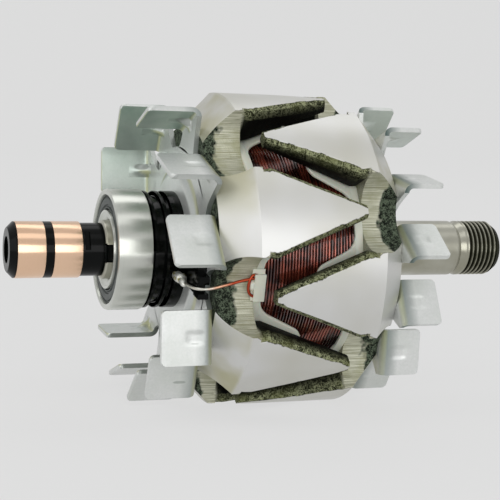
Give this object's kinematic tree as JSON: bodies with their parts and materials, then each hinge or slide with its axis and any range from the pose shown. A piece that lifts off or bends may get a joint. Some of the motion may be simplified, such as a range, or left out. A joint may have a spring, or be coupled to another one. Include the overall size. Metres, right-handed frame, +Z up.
{
  "type": "alternator rotor",
  "caption": "Claw-pole alternator rotor with field coil, folded sheet-metal fans, slip rings, a rear ball bearing and a threaded drive end.",
  "frame": {"origin": "on the shaft axis, midway between the two pole discs", "axes": "+X along the shaft to the threaded drive end, +Z up, lying on its claws"},
  "size_m": [0.1541, 0.092, 0.092],
  "materials": {
    "turned_steel": "turned, lightly oiled",
    "black_plastic": "moulded",
    "copper_ring": "fine turned copper",
    "bearing_steel": "ground",
    "seal_rubber": "satin",
    "forged_iron": "forged, ground outside",
    "cream_plastic": "moulded",
    "enamelled_copper": "enamelled winding wire",
    "zinc_sheet": "zinc plated sheet",
    "solder": "tinned"
  },
  "bodies": {
    "rotor": {"shaft": "turned_steel", "slip_ring_body": "black_plastic", "slip_ring_outer": "copper_ring", "slip_ring_inner": "copper_ring", "bearing_inner_ring": "bearing_steel", "bearing_balls": "bearing_steel", "lead_guide": "black_plastic", "rear_claw_pole": "forged_iron", "front_claw_pole": "forged_iron", "coil_bobbin": "cream_plastic", "field_coil": "enamelled_copper", "rear_fan": "zinc_sheet", "front_fan": "zinc_sheet", "lead_block_near": "cream_plastic", "lead_block_far": "cream_plastic", "lead_wire_near": "enamelled_copper", "lead_wire_far": "enamelled_copper", "solder_lug_near": "solder", "solder_lug_far": "solder"},
    "bearing_outer": {"bearing_outer_ring": "bearing_steel", "bearing_seal_front": "seal_rubber", "bearing_seal_back": "seal_rubber"}
  },
  "joints": [
    {"name": "bearing_spin", "type": "hinge", "parent": "rotor", "child": "bearing_outer", "pos_m": [-0.04475, 0, 0], "axis": [1, 0, 0], "continuous": true}
  ]
}
